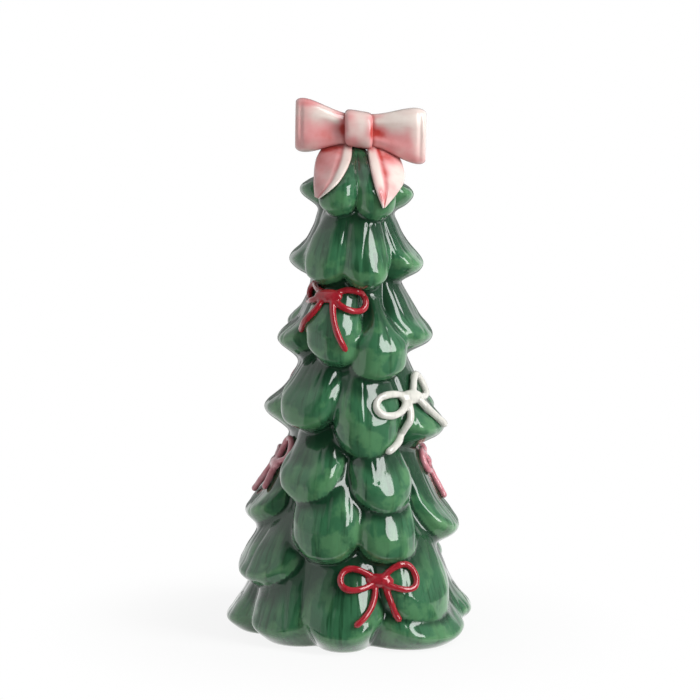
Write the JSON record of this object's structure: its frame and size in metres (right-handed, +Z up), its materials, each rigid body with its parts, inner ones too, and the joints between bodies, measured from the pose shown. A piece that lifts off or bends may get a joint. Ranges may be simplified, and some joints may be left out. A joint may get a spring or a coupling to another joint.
{
  "type": "tabletop christmas tree",
  "caption": "Glazed ceramic Christmas tree for a table top, hollow underneath, with a ribbon bow on its tip and small raised bows on its branches.",
  "frame": {"origin": "on the table, under the middle of the tree's foot", "axes": "+Z up the tree to the bow, -Y to the front, which carries the ribbon bow's tails, +X to the right in the front view"},
  "size_m": [0.111, 0.1063, 0.238],
  "materials": {
    "green_glaze": "polished",
    "ribbon_glaze": "polished",
    "red_bow_glaze": "polished",
    "white_bow_glaze": "polished",
    "pink_bow_glaze": "polished"
  },
  "bodies": {
    "root": {"tree_casting": "green_glaze", "ribbon_knot": "ribbon_glaze", "ribbon_left_loop": "ribbon_glaze", "ribbon_right_loop": "ribbon_glaze", "ribbon_left_tail": "ribbon_glaze", "ribbon_right_tail": "ribbon_glaze", "red_bow_upper_front": "red_bow_glaze", "white_bow_right": "white_bow_glaze", "red_bow_lower_front": "red_bow_glaze", "pink_bow_left": "pink_bow_glaze", "pink_bow_right": "pink_bow_glaze", "white_bow_upper_back": "white_bow_glaze", "red_bow_middle_back": "red_bow_glaze", "white_bow_lower_back": "white_bow_glaze"}
  },
  "joints": []
}
